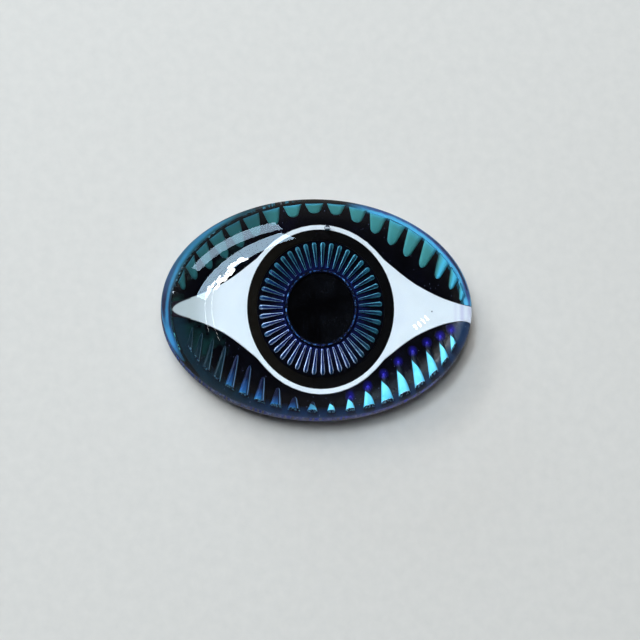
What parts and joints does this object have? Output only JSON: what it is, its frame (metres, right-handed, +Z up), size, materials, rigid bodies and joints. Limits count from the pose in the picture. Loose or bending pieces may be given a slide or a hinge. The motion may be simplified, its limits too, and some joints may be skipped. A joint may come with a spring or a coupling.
{
  "type": "evil eye cabochon ornament",
  "caption": "Oval domed pressed-glass cabochon with an eye formed on its back: white almond, black iris ring, radiating mirror-coated rays and mirror-coated lashes.",
  "frame": {"origin": "centre of the flat lacquered back, on the surface it lies on", "axes": "+X along the length from corner to corner of the eye, +Y towards the upper lid, +Z up through the top of the dome"},
  "size_m": [0.025, 0.018, 0.0077],
  "materials": {
    "clear_glass": "polished clear pressed glass",
    "teal_mirror": "thin iridescent mirror coat, teal",
    "sky_mirror": "thin iridescent mirror coat, sky blue",
    "blue_mirror": "thin iridescent mirror coat, blue",
    "violet_mirror": "thin iridescent mirror coat, violet blue",
    "white_enamel": "opaque white cold enamel",
    "black_enamel": "opaque black cold enamel",
    "pupil_black": "opaque black cold enamel",
    "dark_lacquer": "dark backing lacquer"
  },
  "bodies": {
    "root": {"glass_dome": "clear_glass", "upper_lid_coat": "teal_mirror", "lower_lid_coat": "sky_mirror", "sclera_enamel": "white_enamel", "iris_ring_enamel": "black_enamel", "iris_ray_coat": "blue_mirror", "pupil_rim_coat": "teal_mirror", "pupil_enamel": "pupil_black", "rim_coat": "violet_mirror", "backing_lacquer": "dark_lacquer"}
  },
  "joints": []
}
